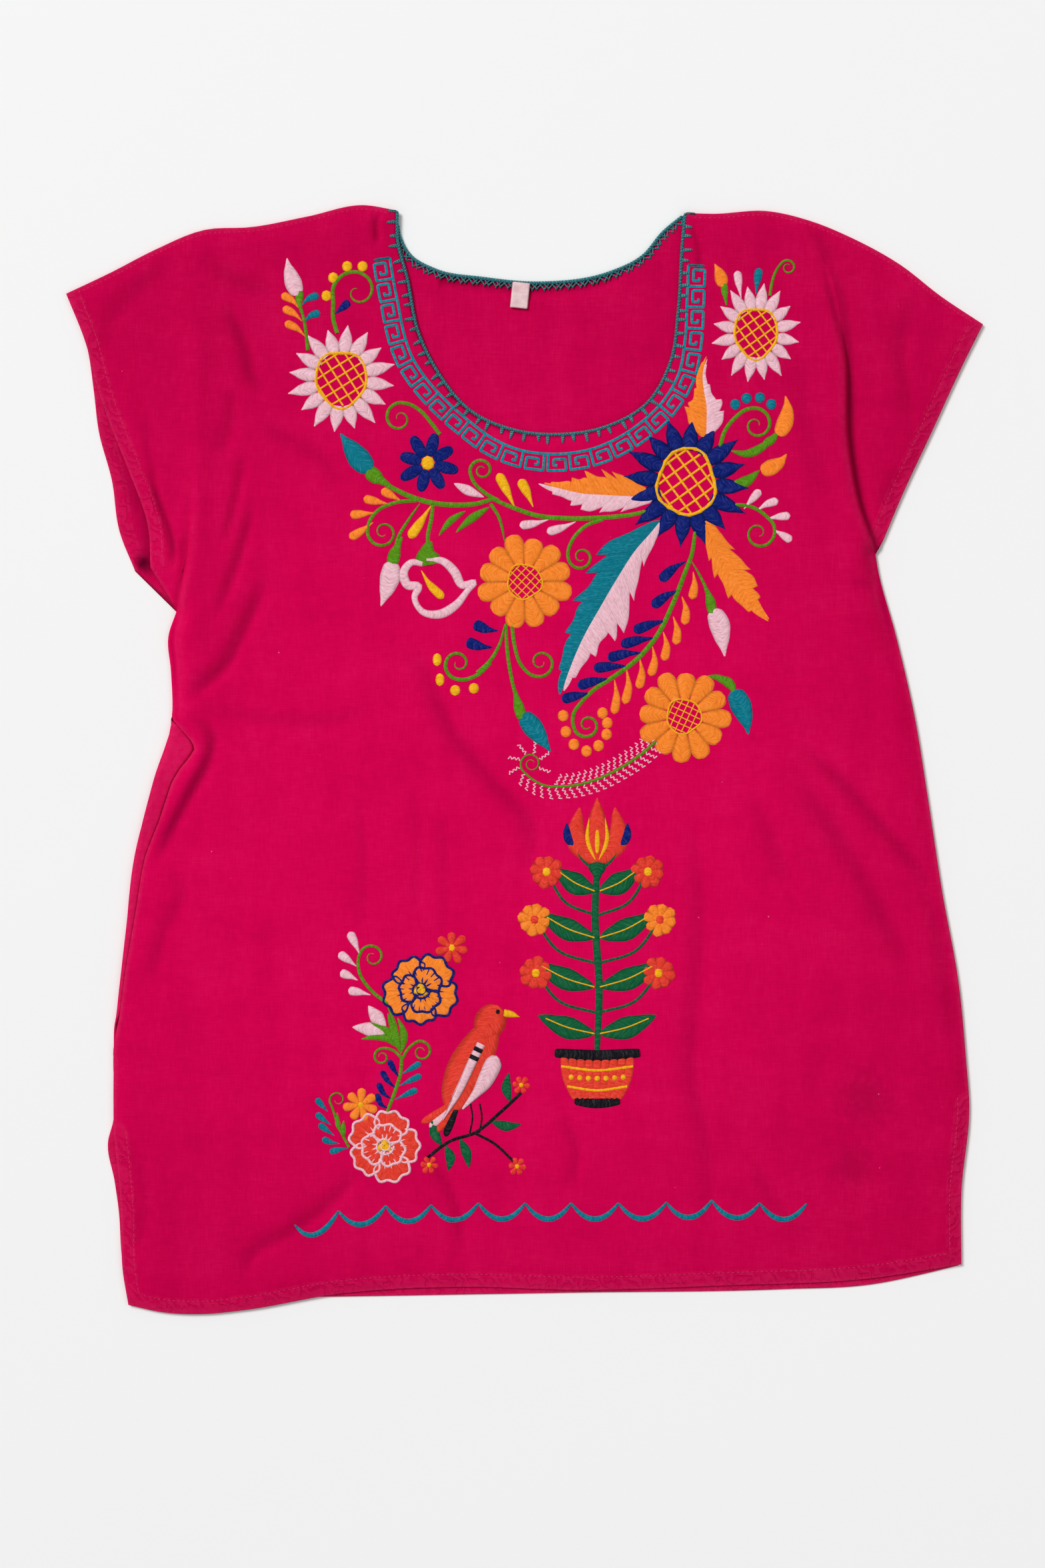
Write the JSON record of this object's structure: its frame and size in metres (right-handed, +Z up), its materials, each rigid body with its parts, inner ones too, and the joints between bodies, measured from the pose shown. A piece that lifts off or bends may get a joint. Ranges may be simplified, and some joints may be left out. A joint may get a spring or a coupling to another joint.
{
  "type": "embroidered top",
  "caption": "Short-sleeved cotton blouse with a scooped neck and side vents, laid flat with its front up, for dressing a bed, table or shelf.",
  "frame": {"origin": "middle of the garment's outline, on the surface that it lies on", "axes": "+X to the right and +Y towards the neck as seen from above, +Z up from the surface, out of the front panel"},
  "size_m": [0.551, 0.6663, 0.0115],
  "materials": {
    "pink_cotton": "matt plain-woven cotton",
    "teal_thread": "crocheted cotton thread",
    "pale_tape": "woven tape"
  },
  "bodies": {
    "root": {"front_panel": "pink_cotton", "back_panel": "pink_cotton", "neck_edging_front": "teal_thread", "neck_edging_back": "teal_thread", "neck_label": "pale_tape"}
  },
  "joints": []
}
